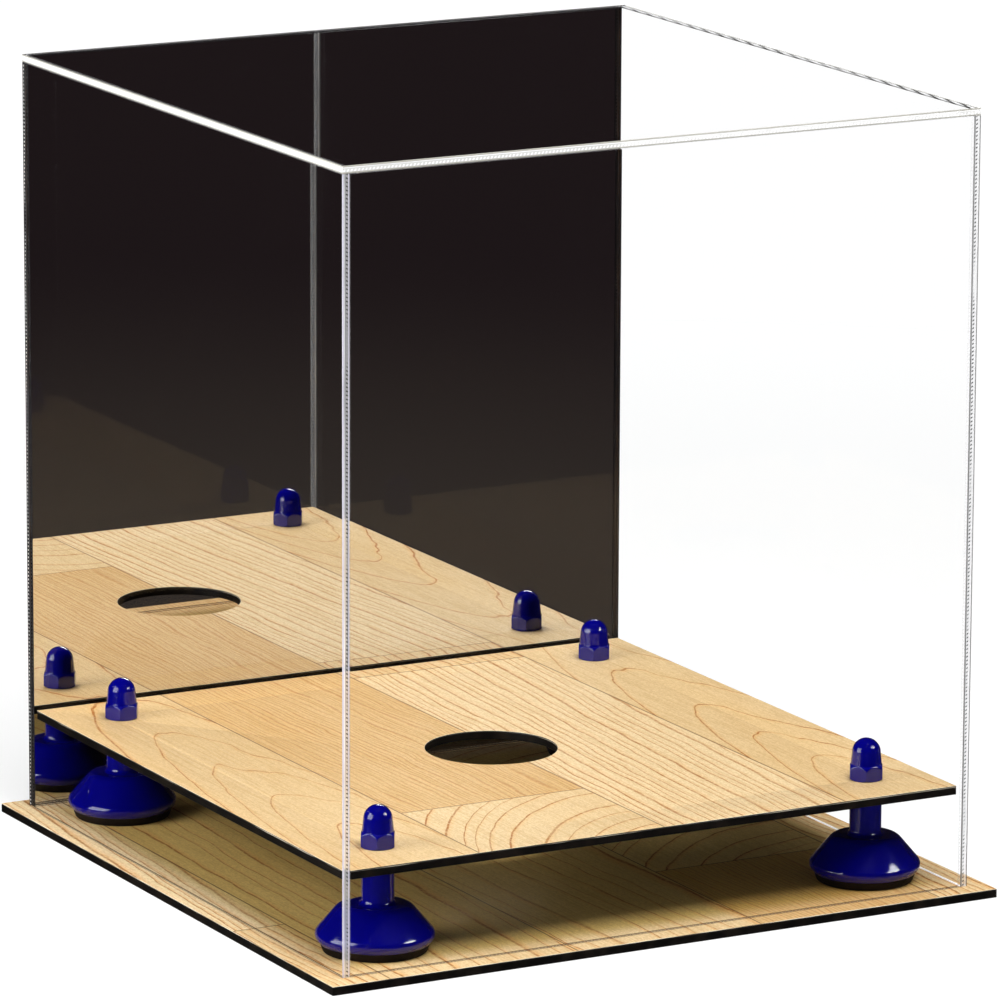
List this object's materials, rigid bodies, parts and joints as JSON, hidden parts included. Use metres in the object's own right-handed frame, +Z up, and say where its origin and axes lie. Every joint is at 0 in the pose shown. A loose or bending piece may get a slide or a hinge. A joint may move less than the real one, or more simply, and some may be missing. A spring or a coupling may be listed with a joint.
{
  "type": "ball display case",
  "caption": "Clear box cover with a mirror back over a wood-grain platform on flared risers with cap nuts; shows a ball.",
  "frame": {"origin": "middle of the base's underside, on the surface it stands on", "axes": "+Z up, front of the case towards -Y, mirror towards +Y, +X to the right seen from the front"},
  "size_m": [0.2976, 0.3014, 0.3186],
  "materials": {
    "black_board": "black sheet, cut edges satin",
    "maple_sheet": "pale maple grain, satin",
    "blue_gloss": "glossy deep blue",
    "pad_rubber": "matt dark rubber",
    "bolt_steel": "zinc plated",
    "clear_acrylic": "clear, polished edges",
    "mirror_silver": "silvered behind clear acrylic, grey paint behind"
  },
  "bodies": {
    "base": {"base_board": "black_board", "base_veneer": "maple_sheet"},
    "stand": {"platform_board": "black_board", "platform_veneer": "maple_sheet", "riser_pad_1": "pad_rubber", "riser_1": "blue_gloss", "riser_bolt_1": "bolt_steel", "riser_pad_2": "pad_rubber", "riser_2": "blue_gloss", "riser_bolt_2": "bolt_steel", "riser_pad_3": "pad_rubber", "riser_3": "blue_gloss", "riser_bolt_3": "bolt_steel", "riser_pad_4": "pad_rubber", "riser_4": "blue_gloss", "riser_bolt_4": "bolt_steel"},
    "cover": {"left_panel": "clear_acrylic", "right_panel": "clear_acrylic", "front_panel": "clear_acrylic", "top_panel": "clear_acrylic", "mirror_sheet": "clear_acrylic", "mirror_backing": "mirror_silver"},
    "nut_1": {"cap_nut_1": "blue_gloss"},
    "nut_2": {"cap_nut_2": "blue_gloss"},
    "nut_3": {"cap_nut_3": "blue_gloss"},
    "nut_4": {"cap_nut_4": "blue_gloss"}
  },
  "joints": [
    {"name": "cover_lift", "type": "slide", "parent": "base", "child": "cover", "axis": [0, 0, 1], "range_m": [0, 0.33]},
    {"name": "stand_lift", "type": "slide", "parent": "base", "child": "stand", "axis": [0, 0, 1], "range_m": [0, 0.25]},
    {"name": "nut_turn_1", "type": "hinge", "parent": "stand", "child": "nut_1", "pos_m": [-0.1098, -0.1118, 0.0449], "axis": [0, 0, 1], "continuous": true},
    {"name": "nut_turn_2", "type": "hinge", "parent": "stand", "child": "nut_2", "pos_m": [0.1098, -0.1118, 0.0449], "axis": [0, 0, 1], "continuous": true},
    {"name": "nut_turn_3", "type": "hinge", "parent": "stand", "child": "nut_3", "pos_m": [0.1098, 0.1118, 0.0449], "axis": [0, 0, 1], "continuous": true},
    {"name": "nut_turn_4", "type": "hinge", "parent": "stand", "child": "nut_4", "pos_m": [-0.1098, 0.1118, 0.0449], "axis": [0, 0, 1], "continuous": true}
  ]
}
